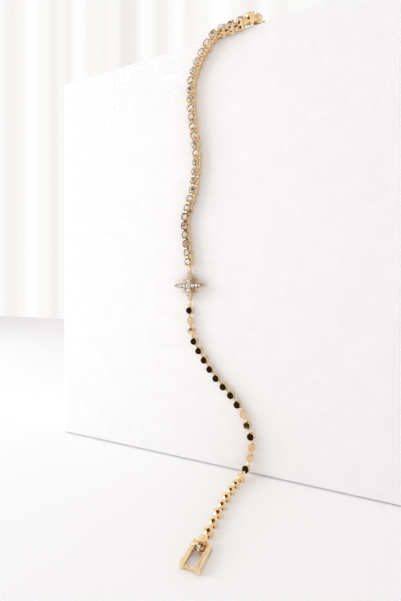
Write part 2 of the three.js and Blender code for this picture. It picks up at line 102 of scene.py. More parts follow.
forward = Vector((
    -math.sin(CAMERA_YAW) * math.cos(CAMERA_PITCH),
    math.cos(CAMERA_YAW) * math.cos(CAMERA_PITCH),
    -math.sin(CAMERA_PITCH),
))
camera_data = bpy.data.cameras.new("camera")
camera_data.lens = CAMERA_LENS
camera_data.sensor_width = SENSOR_WIDTH
camera_data.clip_start = NEAR_LIMIT
camera_data.clip_end = FAR_LIMIT
camera = bpy.data.objects.new("camera", camera_data)
turn = forward.to_track_quat("-Z", "Y").to_matrix() @ Matrix.Rotation(CAMERA_ROLL, 3, "Z")
camera.matrix_world = Matrix.Translation(CAMERA_PLACE) @ turn.to_4x4()
bpy.context.scene.collection.objects.link(camera)
bpy.context.scene.camera = camera
print("camera looks along", [round(v, 3) for v in forward])

# %% [markdown]
# A chain has no size of its own until it is laid out, so everything on it is placed by one route.
# The route is the same short list of places that the CAD model uses, on the floor, up the face and
# over the top edge. A centripetal curve through them never overshoots at a close pair of points,
# which a plain cubic curve would.

# %% Sizes of the run, in millimetres
LIE_GAP = 0.05
FOOT_BEND_RADIUS = 3.5
STRING_HEIGHT = 0.76
BLOCK_EDGE_RADIUS = 0.6
CUP_COUNT = 42
CUP_PITCH = 2.13
CUP_RADIUS = 0.97
CUP_RIM = 0.15
CUP_HEIGHT = 1.7
BEAD_COUNT = 26
BEAD_PITCH = 2.49
BEAD_RADIUS = 0.8
BEAD_DEPTH = 1.4
BEAD_NECK = 0.5
EYE_RADIUS = 0.36
EYE_SPACE = 0.08
WIRE_RADIUS = 0.13
LINK_HALF_HEIGHT = 0.42
STAR_UP_ARM = 3.2
STAR_DOWN_ARM = 3.1
STAR_HEIGHT_ON_FACE = 42.65
CROSSBAR_RADIUS = 0.17
CROSSBAR_SETBACK = 1.65
FRAME_LENGTH = 4.95
FRAME_WIDTH = 3.25
FRAME_HEIGHT = 1.1
RAIL_WIDTH = 0.56
ROUTE_STEPS = 9000
DIRECTION_STEPS = 12

# Columns: surface, millimetres across, place on that surface, how far it stands off
ROUTE = [
    ("floor", 3.5, 36, 0),
    ("floor", 4.1, 29, 0),
    ("floor", 4.3, 22, 0),
    ("floor", 4.25, 17, 0),
    ("floor", 4.25, 12.5, 0),
    ("floor", 4.45, 8.5, 0),
    ("floor", 4.85, 5.4, 0),
    ("foot", 5.7, 45, 0),
    ("face", 6.6, 5.4, 0),
    ("face", 6.75, 7.9, 0),
    ("face", 6.1, 10.2, 0),
    ("face", 4.9, 13.2, 0),
    ("face", 2.35, 17.0, 0),
    ("face", -1.8, 21.2, 0),
    ("face", -4.9, 25.4, 0),
    ("face", -7.5, 29.7, 0),
    ("face", -8.45, 33.5, 0),
    ("face", -8.6, 37, 0),
    ("face", -8.55, 42.6, 0),
    ("face", -8.8, 48.4, 0),
    ("face", -9.45, 53.5, 0),
    ("face", -9.8, 58.4, 0),
    ("face", -8.9, 61.8, 0),
    ("face", -7.8, 64.9, 0),
    ("face", -7.25, 69.0, 0),
    ("face", -6.9, 72.4, 0),
    ("face", -7.35, 76.3, 0),
    ("face", -8.0, 81.0, 0),
    ("face", -8.5, 86.2, 0),
    ("face", -8.4, 90.6, 0),
    ("face", -7.4, 93.6, 0),
    ("face", -6.1, 96.0, 0),
    ("face", -4.6, 98.0, 0.05),
    ("edge", -2.6, 5, 0.1),
    ("edge", -0.1, 14, 0.2),
    ("edge", 2.5, 24, 0.35),
    ("edge", 4.9, 42, 0.45),
    ("top", 6.6, 1.2, 0.5),
    ("top", 7.2, 4.2, 0.25),
    ("top", 6.8, 10, 0),
    ("top", 5.8, 15, 0),
    ("top", 5.4, 20, 0),
    ("top", 5.4, 28, 0),
    ("top", 5.4, 36, 0),
]

block_low, block_high = (Vector(corner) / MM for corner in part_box("display_block"))
FACE_Y = block_low.y
BLOCK_HEIGHT = block_high.z
print("block, mm:", [round(v, 1) for v in block_high - block_low])

# %% The line behind the chain, seen from the side
foot_length = math.pi * FOOT_BEND_RADIUS / 2
face_length = BLOCK_HEIGHT - BLOCK_EDGE_RADIUS - LIE_GAP - FOOT_BEND_RADIUS
over_radius = BLOCK_EDGE_RADIUS + LIE_GAP
over_length = math.pi * over_radius / 2


def length_to(surface, place):
    if surface == "floor":
        return LIE_GAP + FOOT_BEND_RADIUS - place
    if surface == "foot":
        return foot_length * place / 90
    if surface == "face":
        return foot_length + place - LIE_GAP - FOOT_BEND_RADIUS
    if surface == "edge":
        return foot_length + face_length + over_length * place / 90
    return foot_length + face_length + over_length + place - BLOCK_EDGE_RADIUS


def behind(length):
    bend_y = FACE_Y - LIE_GAP - FOOT_BEND_RADIUS
    bend_z = LIE_GAP + FOOT_BEND_RADIUS
    up_face = length - foot_length
    over = up_face - face_length
    if length < 0:
        return bend_y + length, LIE_GAP, 0.0
    if up_face < 0:
        lean = length / FOOT_BEND_RADIUS
        y = bend_y + FOOT_BEND_RADIUS * math.sin(lean)
        return y, bend_z - FOOT_BEND_RADIUS * math.cos(lean), lean
    if over < 0:
        return FACE_Y - LIE_GAP, bend_z + up_face, math.pi / 2
    over_y = FACE_Y + BLOCK_EDGE_RADIUS
    over_z = BLOCK_HEIGHT - BLOCK_EDGE_RADIUS
    if over < over_length:
        lean = math.pi / 2 - over / over_radius
        return over_y - over_radius * math.sin(lean), over_z + over_radius * math.cos(lean), lean
    return over_y + over - over_length, BLOCK_HEIGHT + LIE_GAP, 0.0


print("over the edge at", round(foot_length + face_length, 1), "mm of run")

# %% The smooth way through the route
way_points = [Vector((across, length_to(surface, place), off)) for surface, across, place, off in ROUTE]
way_points.insert(0, 2 * way_points[0] - way_points[1])
way_points.append(2 * way_points[-1] - way_points[-2])


def on_the_way(share):
    spans = len(way_points) - 3
    place = share * spans
    first = min(int(place), spans - 1)
    part = place - first
    p0, p1, p2, p3 = way_points[first:first + 4]
    dt0, dt1, dt2 = (math.sqrt((b - a).length) for a, b in ((p0, p1), (p1, p2), (p2, p3)))
    t1 = ((p1 - p0) / dt0 - (p2 - p0) / (dt0 + dt1) + (p2 - p1) / dt1) * dt1
    t2 = ((p2 - p1) / dt1 - (p3 - p1) / (dt1 + dt2) + (p3 - p2) / dt2) * dt1
    square = -3 * p1 + 3 * p2 - 2 * t1 - t2
    cube = 2 * p1 - 2 * p2 + t1 + t2
    return p1 + t1 * part + square * part ** 2 + cube * part ** 3


stations = []
for step in range(ROUTE_STEPS + 1):
    point = on_the_way(step / ROUTE_STEPS)
    y, z, lean = behind(point.y)
    out = Vector((0, -math.sin(lean), math.cos(lean)))
    back = Vector((point.x, y, z)) + out * point.z
    stations.append((point.y, back, out, back + out * STRING_HEIGHT))


def placement(index):
    before = stations[max(index - DIRECTION_STEPS, 0)][3]
    after = stations[min(index + DIRECTION_STEPS, ROUTE_STEPS)][3]
    along = (after - before).normalized()
    _, back, out, _ = stations[index]
    outward = (out - along * out.dot(along)).normalized()
    across = along.cross(outward)
    turned = Matrix((across, along, outward)).transposed().to_4x4()
    return Matrix.Translation(back) @ turned


def station_from(index, distance, direction):
    following = index
    while (stations[following][3] - stations[index][3]).length < distance:
        following += direction
    return following


print(len(stations), "stations")

# %% Where every cup, bead and end sits
eye_beyond_tip = EYE_RADIUS - WIRE_RADIUS
eye_to_eye = 2 * EYE_RADIUS + 2 * WIRE_RADIUS + EYE_SPACE
cup_eye = CUP_RADIUS + eye_beyond_tip
bead_eye = BEAD_RADIUS + eye_beyond_tip
eye_to_bar = EYE_RADIUS + WIRE_RADIUS + EYE_SPACE + CROSSBAR_RADIUS

star_length = length_to("face", STAR_HEIGHT_ON_FACE)
star_index = next(i for i, station in enumerate(stations) if station[0] >= star_length)
star_to_cup = STAR_UP_ARM + eye_beyond_tip + eye_to_eye + cup_eye
star_to_bead = STAR_DOWN_ARM + eye_beyond_tip + eye_to_eye + BEAD_NECK + bead_eye
cup_indices = [station_from(star_index, star_to_cup, 1)]
for _ in range(CUP_COUNT - 1):
    cup_indices.append(station_from(cup_indices[-1], CUP_PITCH, 1))
bead_indices = [station_from(star_index, star_to_bead, -1)]
for _ in range(BEAD_COUNT - 1):
    bead_indices.append(station_from(bead_indices[-1], BEAD_PITCH, -1))
frame_index = station_from(bead_indices[-1], bead_eye + eye_to_bar, -1)
star_place = placement(star_index)
centre_low, centre_high = (Vector(corner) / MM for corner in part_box("star_stone_centre"))
miss = (centre_low + centre_high) / 2 - star_place.translation
print("star's stone is", [round(v, 2) for v in miss], "mm from the star's back point")

# %% [markdown]
# A repeated piece is grown by a geometry tree from a carrier, a bare mesh of points or edges that
# says where the copies go. Each point carries its turn and its size as attributes. The grown result
# is then made a plain mesh, because an export knows nothing of trees.

# %% Helpers that make meshes and grow pieces
def mesh_object(name, points, faces=(), edges=()):
    mesh = bpy.data.meshes.new(name)
    mesh.from_pydata([Vector(p) * MM for p in points], list(edges), list(faces))
    mesh.validate()
    obj = bpy.data.objects.new(name, mesh)
    bpy.context.scene.collection.objects.link(obj)
    return obj


def carrier(name, matrices, sizes=None):
    obj = mesh_object(name, [m.translation for m in matrices])
    turns = obj.data.attributes.new("turn", "QUATERNION", "POINT")
    for i, matrix in enumerate(matrices):
        turns.data[i].value = matrix.to_quaternion()
    scales = obj.data.attributes.new("size", "FLOAT", "POINT")
    for i in range(len(matrices)):
        scales.data[i].value = sizes[i] if sizes else 1.0
    return obj


def start_tree(name, sockets):
    tree = bpy.data.node_groups.new(name, "GeometryNodeTree")
    tree.interface.new_socket("Geometry", in_out="INPUT", socket_type="NodeSocketGeometry")
    tree.interface.new_socket("Geometry", in_out="OUTPUT", socket_type="NodeSocketGeometry")
    for label, kind in sockets:
        tree.interface.new_socket(label, in_out="INPUT", socket_type="NodeSocket" + kind)
    return tree, add_node(tree, "NodeGroupInput").outputs


def finish_tree(tree, geometry, material):
    real = add_node(tree, "GeometryNodeRealizeInstances", {"Geometry": geometry})
    finished = add_node(tree, "GeometryNodeSetMaterial", {"Geometry": real.outputs[0], "Material": material})
    add_node(tree, "NodeGroupOutput", {"Geometry": finished.outputs[0]})


def grow(name, obj, tree, values):
    modifier = obj.modifiers.new("grow", "NODES")
    modifier.node_group = tree
    for item in tree.interface.items_tree:
        if item.in_out == "INPUT" and item.name in values:
            modifier[item.identifier] = values[item.name]
    ready = obj.evaluated_get(bpy.context.evaluated_depsgraph_get())
    mesh = bpy.data.meshes.new_from_object(ready)
    obj.modifiers.remove(modifier)
    for spare in ("turn", "size"):
        if spare in mesh.attributes:
            mesh.attributes.remove(mesh.attributes[spare])
    obj.data = mesh
    obj.name = name
    mesh.name = name
    print(name, "has", len(mesh.polygons), "faces")
    return obj


def hand_over(obj, slot, *nodes):
    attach(obj, "root")
    if nodes:
        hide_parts(*nodes)


# %% A turned form from a profile of radius and height
def turned_form(name, profile, sides, sharp_degrees=40):
    points = []
    faces = []
    for radius, height in profile:
        for k in range(sides):
            angle = 2 * math.pi * (k + 0.5) / sides
            points.append((radius * math.cos(angle), radius * math.sin(angle), height))
    for row in range(len(profile) - 1):
        for k in range(sides):
            after = (k + 1) % sides
            low, high = row * sides, (row + 1) * sides
            faces.append((low + k, low + after, high + after, high + k))
    faces.append(tuple(reversed(range(sides))))
    faces.append(tuple((len(profile) - 1) * sides + k for k in range(sides)))
    obj = mesh_object(name, points, faces)
    obj.data.shade_smooth()
    obj.data.set_sharp_from_angle(angle=math.radians(sharp_degrees))
    return obj


def drop(*objects):
    for obj in objects:
        bpy.data.objects.remove(obj, do_unlink=True)


# %% [markdown]
# Gold plate on brass is a thin polished coat of metal. What the eye reads as gold is mostly what it
# mirrors, so the base colour is a pale warm yellow and the light and dark around it do much of the rest;
# noise patches between it and a deeper gold add painted dark and bright reflections on top. The
# finishes share one recipe: bright settings, a cast star, mirror beads, a softly polished clasp,
# pale little links, and a dark brown painted shade in the beads' drilled mouths. Fine polishing marks
# are about 0.05 mm apart, too fine to show, so they are drawn about four times as coarse.

# %% Gold plate
POLISH_MARK = 0.2 * MM
POLISH_DEPTH = 0.01 * MM
WIDE_REFLECTION_PATCH = 1.6 * MM
SMALL_REFLECTION_PATCH = 0.5 * MM


def gold_plate(name, bright, painted_dark, roughness, marks, patch=SMALL_REFLECTION_PATCH):
    material, tree = new_material(name)
    place = add_node(tree, "ShaderNodeTexCoord").outputs["Object"]
    # Painted reflection: patches of the deeper tone stand for dark things mirrored in the metal.
    painted_reflection_patches = add_node(tree, "ShaderNodeTexNoise", {
        "Vector": place, "Scale": 1 / patch, "Detail": 3.0, "Roughness": 0.55})
    reflection_tint = add_node(tree, "ShaderNodeValToRGB", {"Fac": painted_reflection_patches.outputs["Fac"]})
    reflection_tint.color_ramp.elements[0].position = 0.35
    reflection_tint.color_ramp.elements[0].color = linear(painted_dark)
    reflection_tint.color_ramp.elements[1].position = 0.65
    reflection_tint.color_ramp.elements[1].color = linear(bright)
    fine = add_node(tree, "ShaderNodeTexNoise", {
        "Vector": place, "Scale": 1 / POLISH_MARK, "Detail": 2.0, "Roughness": 0.6})
    gloss = add_node(tree, "ShaderNodeMapRange", {
        "Value": fine.outputs["Fac"], "To Min": roughness * 0.75, "To Max": roughness * 1.25})
    relief = add_node(tree, "ShaderNodeBump", {
        "Height": fine.outputs["Fac"], "Strength": marks, "Distance": POLISH_DEPTH})
    shader = add_node(tree, "ShaderNodeBsdfPrincipled", {
        "Base Color": reflection_tint.outputs["Color"], "Metallic": 1.0,
        "Roughness": gloss.outputs["Result"], "Normal": relief.outputs["Normal"]})
    add_node(tree, "ShaderNodeOutputMaterial", {"Surface": shader.outputs["BSDF"]})
    return material


bright_gold = gold_plate("gold_plate_bright_settings", "#FFEBC8", "#EFC68C", 0.14, 0.2)
cast_gold = gold_plate("gold_plate_cast_star", "#FFF1D8", "#EEC890", 0.16, 0.2)
mirror_gold = gold_plate("gold_plate_mirror_beads", "#FFE6BA", "#F6D09A", 0.06, 0.04, WIDE_REFLECTION_PATCH)
clasp_gold = gold_plate("gold_plate_polished_clasp", "#FFEBCB", "#F5D5A4", 0.13, 0.1)
# Painted shade: the dark brown stands for the shade inside the beads' drilled mouths.
painted_mouth_shade = gold_plate("painted_shade_in_mouths", "#7A4F20", "#3A210C", 0.35, 0.3)
link_gold = gold_plate("gold_plate_pale_links", "#FFF0D8", "#FFE0B8", 0.3, 0.1, WIDE_REFLECTION_PATCH)
print("gold finishes ready")

# %% [markdown]
# The stones are cut cubic zirconia, clear and colourless with a strong sparkle. Its index of about
# 2.15 bends light so hard that most of it comes back out of the top, and every facet then shows
# another part of the room: white, grey or dark. Each facet carries a random number for that, kept
# as an attribute, which picks a painted reflection for its colour, with a little real transmission left.

# %% Cubic zirconia
ZIRCONIA_INDEX = 2.15


def cut_zirconia(name, tones):
    material, tree = new_material(name)
    # Painted reflection: each facet's random number picks a tone from dark brown-grey to white.
    flash = add_node(tree, "ShaderNodeAttribute", attribute_name="flash", attribute_type="GEOMETRY")
    painted_facet_reflection = add_node(tree, "ShaderNodeValToRGB", {"Fac": flash.outputs["Fac"]})
    while len(painted_facet_reflection.color_ramp.elements) < len(tones):
        painted_facet_reflection.color_ramp.elements.new(0.5)
    for stop, (position, tone) in zip(painted_facet_reflection.color_ramp.elements, tones):
        stop.position = position
        stop.color = linear(tone)
    shader = add_node(tree, "ShaderNodeBsdfPrincipled", {
        "Base Color": painted_facet_reflection.outputs["Color"], "Roughness": 0.03, "IOR": ZIRCONIA_INDEX,
        "Transmission Weight": 0.15})
    add_node(tree, "ShaderNodeOutputMaterial", {"Surface": shader.outputs["BSDF"]})
    return material


run_zirconia = cut_zirconia("zirconia_of_the_run", [
    (0.0, "#4A3A2B"), (0.24, "#9C8672"), (0.48, "#DDCDBF"), (0.74, "#FFF9F3")])
star_zirconia = cut_zirconia("zirconia_of_the_star", [
    (0.0, "#B49C90"), (0.25, "#F0E0DA"), (0.55, "#FFFAF8")])
print("zirconia ready")

# %% [markdown]
# A round brilliant has a flat table, kite facets down to a thin girdle and a pointed pavilion. All
# its rings follow from shares of its radius, so one mesh of radius one serves every stone, and the
# carrier's size attribute scales it. The facets stay flat, since flat facets are what flashes.

# %% Brilliant cut, radius one
TABLE_SHARE = 0.56
CROWN_SHARE = 0.34
GIRDLE_SHARE = 0.06
PAVILION_SHARE = 0.72
CROWN_MIDDLE_SHARE = 0.82
PAVILION_MIDDLE_SHARE = 0.42
MAINS = 8


def cap_of_facets(points, faces, tip, tip_share, height, low, girdle, mid_share, upward):
    eighth = 2 * math.pi / MAINS
    mid_cos = mid_share * math.cos(eighth / 2)
    mid_height = low + height * (1 - mid_cos) / (1 - tip_share)
    first_mid = len(points)
    for k in range(MAINS):
        points.append((mid_share * math.cos(eighth * k), mid_share * math.sin(eighth * k), mid_height))
    for k in range(MAINS):
        mid = first_mid + k
        mid_after = first_mid + (k + 1) % MAINS
        here = girdle + 2 * k
        between = girdle + (2 * k + 1) % (2 * MAINS)
        there = girdle + (2 * k + 2) % (2 * MAINS)
        corner = tip[k % len(tip)]
        made = [
            (mid, here, between), (mid_after, between, there),
            (corner, mid, between), (corner, between, mid_after)]
        if len(tip) > 1:
            made.append((tip[(k - 1) % MAINS], mid, corner))
        faces.extend(made if upward else [tuple(reversed(face)) for face in made])


def brilliant(name):
    points = []
    faces = []
    eighth = 2 * math.pi / MAINS
    for height in (GIRDLE_SHARE, 0.0):
        for j in range(2 * MAINS):
            points.append((math.cos(eighth * j / 2), math.sin(eighth * j / 2), height))
    for j in range(2 * MAINS):
        after = (j + 1) % (2 * MAINS)
        faces.append((2 * MAINS + j, 2 * MAINS + after, after, j))
    table = []
    for k in range(MAINS):
        angle = eighth * (k + 0.5)
        table.append(len(points))
        height = GIRDLE_SHARE + CROWN_SHARE
        points.append((TABLE_SHARE * math.cos(angle), TABLE_SHARE * math.sin(angle), height))
    faces.append(tuple(table))
    culet = len(points)
    points.append((0, 0, -PAVILION_SHARE))
    crown = (table, TABLE_SHARE, CROWN_SHARE, GIRDLE_SHARE, 0, CROWN_MIDDLE_SHARE)
    pavilion = ([culet], 0.0, -PAVILION_SHARE, 0.0, 2 * MAINS, PAVILION_MIDDLE_SHARE)
    cap_of_facets(points, faces, *crown, True)
    cap_of_facets(points, faces, *pavilion, False)
    return mesh_object(name, points, faces)


stone_form = brilliant("stone_form")
print("a stone has", len(stone_form.data.polygons), "facets")

# %% [markdown]
# The first tree sets a stone on every point. Real stones are never lined up with each other, so each
# is spun about its own axis by a random angle with a fixed seed, and no two flash alike.

# %% Tree: stones in their seats
stone_tree, given = start_tree("stones_in_seats", [
    ("Stone", "Object"), ("Seed", "Int"), ("Most spin", "Float"), ("Material", "Material")])
form = add_node(stone_tree, "GeometryNodeObjectInfo", {"Object": given["Stone"]})
turns = add_node(stone_tree, "GeometryNodeInputNamedAttribute", {"Name": "turn"}, data_type="QUATERNION")
size = add_node(stone_tree, "GeometryNodeInputNamedAttribute", {"Name": "size"}, data_type="FLOAT")
spin = add_node(stone_tree, "FunctionNodeRandomValue", data_type="FLOAT")
stone_tree.links.new(given["Most spin"], spin.inputs[3])
stone_tree.links.new(given["Seed"], spin.inputs["Seed"])
about = add_node(stone_tree, "FunctionNodeAxisAngleToRotation", {
    "Axis": (0, 0, 1), "Angle": spin.outputs[1]})
spun = add_node(stone_tree, "FunctionNodeRotateRotation", {
    "Rotation": turns.outputs["Attribute"], "Rotate By": about.outputs["Rotation"]}, rotation_space="LOCAL")
set_stones = add_node(stone_tree, "GeometryNodeInstanceOnPoints", {
    "Points": given["Geometry"], "Instance": form.outputs["Geometry"],
    "Rotation": spun.outputs["Rotation"], "Scale": size.outputs["Attribute"]})
cut = add_node(stone_tree, "GeometryNodeRealizeInstances", {"Geometry": set_stones.outputs["Instances"]})
chance = add_node(stone_tree, "FunctionNodeRandomValue", data_type="FLOAT")
stone_tree.links.new(given["Seed"], chance.inputs["Seed"])
stored_painted_reflection = add_node(stone_tree, "GeometryNodeStoreNamedAttribute", {
    "Geometry": cut.outputs["Geometry"], "Name": "flash"}, data_type="FLOAT", domain="FACE")
stone_tree.links.new(chance.outputs[1], stored_painted_reflection.inputs["Value"])
finish_tree(stone_tree, stored_painted_reflection.outputs["Geometry"], given["Material"])
print("tree", stone_tree.name)

# %% [markdown]
# The second tree repeats a cup with its prongs. The cup itself is turned on a lathe, so its form
# comes from a profile, and the prongs stand in a ring that the tree makes from its own inputs.

# %% Tree: cups with prongs
cup_tree, given = start_tree("cups_with_prongs", [
    ("Cup", "Object"), ("Prong count", "Int"), ("Prong ring radius", "Float"), ("Prong radius", "Float"),
    ("Prong length", "Float"), ("Prong middle height", "Float"), ("Material", "Material")])
cup = add_node(cup_tree, "GeometryNodeObjectInfo", {"Object": given["Cup"]})
ring = add_node(cup_tree, "GeometryNodeMeshCircle", {
    "Vertices": given["Prong count"], "Radius": given["Prong ring radius"]})
raised = add_node(cup_tree, "ShaderNodeCombineXYZ", {"Z": given["Prong middle height"]})
stood = add_node(cup_tree, "GeometryNodeTransform", {
    "Geometry": ring.outputs["Mesh"], "Translation": raised.outputs["Vector"],
    "Rotation": (0, 0, math.radians(45))})
wire = add_node(cup_tree, "GeometryNodeMeshCylinder", {
    "Vertices": 8, "Radius": given["Prong radius"], "Depth": given["Prong length"]})
tip = add_node(cup_tree, "GeometryNodeMeshUVSphere", {
    "Segments": 8, "Rings": 6, "Radius": given["Prong radius"]})
half = add_node(cup_tree, "ShaderNodeMath", {0: given["Prong length"], 1: 0.5}, operation="MULTIPLY")
up = add_node(cup_tree, "ShaderNodeCombineXYZ", {"Z": half.outputs[0]})
tip_up = add_node(cup_tree, "GeometryNodeTransform", {
    "Geometry": tip.outputs["Mesh"], "Translation": up.outputs["Vector"]})
prong = add_node(cup_tree, "GeometryNodeJoinGeometry")
cup_tree.links.new(wire.outputs["Mesh"], prong.inputs[0])
cup_tree.links.new(tip_up.outputs["Geometry"], prong.inputs[0])
smooth = add_node(cup_tree, "GeometryNodeSetShadeSmooth", {"Geometry": prong.outputs[0]})
prongs = add_node(cup_tree, "GeometryNodeInstanceOnPoints", {
    "Points": stood.outputs["Geometry"], "Instance": smooth.outputs["Geometry"]})
setting = add_node(cup_tree, "GeometryNodeJoinGeometry")
cup_tree.links.new(cup.outputs["Geometry"], setting.inputs[0])
cup_tree.links.new(prongs.outputs["Instances"], setting.inputs[0])
turns = add_node(cup_tree, "GeometryNodeInputNamedAttribute", {"Name": "turn"}, data_type="QUATERNION")
settings_row = add_node(cup_tree, "GeometryNodeInstanceOnPoints", {
    "Points": given["Geometry"], "Instance": setting.outputs[0], "Rotation": turns.outputs["Attribute"]})
finish_tree(cup_tree, settings_row.outputs["Instances"], given["Material"])
print("tree", cup_tree.name)

# %% Tree: one form on every point
form_tree, given = start_tree("form_on_points", [("Form", "Object"), ("Material", "Material")])
form = add_node(form_tree, "GeometryNodeObjectInfo", {"Object": given["Form"]})
turns = add_node(form_tree, "GeometryNodeInputNamedAttribute", {"Name": "turn"}, data_type="QUATERNION")
size = add_node(form_tree, "GeometryNodeInputNamedAttribute", {"Name": "size"}, data_type="FLOAT")
repeated = add_node(form_tree, "GeometryNodeInstanceOnPoints", {
    "Points": given["Geometry"], "Instance": form.outputs["Geometry"],
    "Rotation": turns.outputs["Attribute"], "Scale": size.outputs["Attribute"]})
finish_tree(form_tree, repeated.outputs["Instances"], given["Material"])
print("tree", form_tree.name)

# %% [markdown]
# Links, eyes and joining rods are all drawn wire. The third tree sweeps a round section along every
# edge of its carrier: an open edge becomes a rod with closed ends, a loop becomes a ring.

# %% Tree: wire along edges
wire_tree, given = start_tree("wire_along_edges", [
    ("Wire radius", "Float"), ("Sides", "Int"), ("Material", "Material")])
path = add_node(wire_tree, "GeometryNodeMeshToCurve", {"Mesh": given["Geometry"]})
section = add_node(wire_tree, "GeometryNodeCurvePrimitiveCircle", {
    "Resolution": given["Sides"], "Radius": given["Wire radius"]})
swept = add_node(wire_tree, "GeometryNodeCurveToMesh", {
    "Curve": path.outputs["Curve"], "Profile Curve": section.outputs["Curve"], "Fill Caps": True})
smooth = add_node(wire_tree, "GeometryNodeSetShadeSmooth", {"Geometry": swept.outputs["Mesh"]})
finish_tree(wire_tree, smooth.outputs["Geometry"], given["Material"])
print("tree", wire_tree.name)

# %% Loops and rods as carriers of edges
RING_SIDES = 12
ROD_SIDES = 16


def loop_points(middle, first, second, radius, stretch=0.0, steps=24):
    points = []
    for k in range(steps):
        angle = 2 * math.pi * k / steps
        shift = stretch if math.sin(angle) >= 0 else -stretch
        along_second = radius * math.sin(angle) + shift
        points.append(middle + first * (radius * math.cos(angle)) + second * along_second)
    return points


def wire_carrier(name, loops, rods=()):
    points = []
    edges = []
    for loop in loops:
        first = len(points)
        points.extend(loop)
        edges.extend((first + k, first + (k + 1) % len(loop)) for k in range(len(loop)))
    for start, end in rods:
        edges.append((len(points), len(points) + 1))
        points.extend((start, end))
    return mesh_object(name, points, edges=edges)


def eye_loop(place, y):
    middle = place @ Vector((0, y, STRING_HEIGHT))
    return loop_points(middle, place.to_3x3().col[0], place.to_3x3().col[1], EYE_RADIUS)


def upright_loop(place, low, high):
    middle = place @ Vector((0, (low + high) / 2, STRING_HEIGHT))
    stretch = (high - low) / 2 - LINK_HALF_HEIGHT
    return loop_points(middle, place.to_3x3().col[2], place.to_3x3().col[1], LINK_HALF_HEIGHT, stretch)


print("loops ready")


# %% One piece from a wire, a repeated form or stones
def draw_wire(name, loops, rods, radius, sides, material):
    return grow(name, wire_carrier(name + "_path", loops, rods), wire_tree, {
        "Wire radius": radius * MM, "Sides": sides, "Material": material})


def repeat_form(name, form, places, material, sizes=None):
    points = carrier(name + "_points", places, sizes)
    return grow(name, points, form_tree, {"Form": form, "Material": material})


def set_stones_at(name, places, radii, seed, material):
    return grow(name, carrier(name + "_points", places, radii), stone_tree, {
        "Stone": stone_form, "Seed": seed, "Most spin": math.pi / 4, "Material": material})


print("pieces grow from", wire_tree.name, "and", form_tree.name, "and", stone_tree.name)

# %% [markdown]
# The stone-set half is a run of 42 cups. A cup is a small straight-sided bowl with a groove round
# its middle. A short joint holds it to the next, and four prongs with round tips hold the stone.

# %% Cups of the run
CUP_JOINT_RADIUS = 0.7
CUP_FOOT_RADIUS = 0.84
CUP_GROOVE_RADIUS = 0.9
CUP_SIDES = 20
PRONG_RING_RADIUS = 0.9
PRONG_RADIUS = 0.2
PRONG_LENGTH = 0.5
PRONG_DROP = 0.24
cup_places = [placement(i) for i in cup_indices]
cup_form = turned_form("cup_form", [
    (CUP_FOOT_RADIUS, 0.0), (0.92, 0.07), (0.94, 0.6),
    (CUP_GROOVE_RADIUS, 0.68), (CUP_GROOVE_RADIUS, 0.8), (0.95, 0.88),
    (CUP_RADIUS, 1.1), (CUP_RADIUS, CUP_HEIGHT - 0.05), (CUP_RADIUS - 0.04, CUP_HEIGHT),
    (CUP_RADIUS - CUP_RIM, CUP_HEIGHT), (CUP_RADIUS - CUP_RIM - 0.02, CUP_HEIGHT - 0.1),
    (0.5, CUP_HEIGHT - 0.5), (0.2, CUP_HEIGHT - 0.7)], CUP_SIDES)
cups = grow("tennis_cups", carrier("cup_points", cup_places), cup_tree, {
    "Cup": cup_form, "Prong count": 4, "Prong ring radius": PRONG_RING_RADIUS * MM,
    "Prong radius": PRONG_RADIUS * MM, "Prong length": PRONG_LENGTH * MM,
    "Prong middle height": (CUP_HEIGHT - PRONG_DROP) * MM, "Material": bright_gold})
hand_over(cups, "gold_settings", "tennis_chain")

# %% Low feet of the cups that bend over the block's edge
FOOT_RISE = 0.28
FOOT_REACH_DOWN = 1.5
FOOT_REACH_BACK = 5
foot_form = turned_form("foot_form", [
    (CUP_FOOT_RADIUS - 0.04, -FOOT_RISE), (CUP_FOOT_RADIUS, 0.04 - FOOT_RISE),
    (CUP_FOOT_RADIUS, 0.05)], CUP_SIDES)
foot_places = []
for cup_place in cup_places:
    x, y, z = cup_place.translation
    if z > block_high.z - FOOT_REACH_DOWN and y < FOOT_REACH_BACK:
        foot_places.append(cup_place)
feet = repeat_form("tennis_feet", foot_form, foot_places, bright_gold)
hand_over(feet, "gold_settings")
drop(foot_form)

# %% Eyes, joints and stones of the run
CUP_STONE_RADIUS = 0.74
CUP_STONE_SINK = 0.04
RUN_SEED = 7
cup_middles = [m @ Vector((0, 0, STRING_HEIGHT)) for m in cup_places]
cup_rods = list(zip(cup_middles, cup_middles[1:]))
end_eyes = [eye_loop(cup_places[0], -cup_eye), eye_loop(cup_places[-1], cup_eye)]
eyes = draw_wire("tennis_end_eyes", end_eyes, [], WIRE_RADIUS, RING_SIDES, bright_gold)
hand_over(eyes, "gold_settings")
joints = draw_wire("tennis_joints", [], cup_rods, CUP_JOINT_RADIUS, ROD_SIDES, bright_gold)
hand_over(joints, "gold_settings")

stone_places = [m @ Matrix.Translation((0, 0, CUP_HEIGHT - CUP_STONE_SINK)) for m in cup_places]
run_stones = set_stones_at(
    "tennis_stones", stone_places, [CUP_STONE_RADIUS] * CUP_COUNT, RUN_SEED, run_zirconia)
hand_over(run_stones, "stones")
drop(cup_form)

# %% [markdown]
# The plain half is a run of 26 drum beads: short turned drums with a flat mirror face, a chamfer
# and a belt, strung so that they can turn a little. What a mirror face shows depends on where it
# looks. In the photograph most faces catch something dark in front of the block and a few look past
# it into the light, so a dark card stands there and each face is turned to look at it, or past it.
# The lean is worked out from the camera's place, and 20 degrees is its limit. Below the bend the
# beads show a dark spot in a bright ring. Only a domed face does that, so all but the last bead on
# the table are domed, rock on their rods and mirror a brown disc high above.

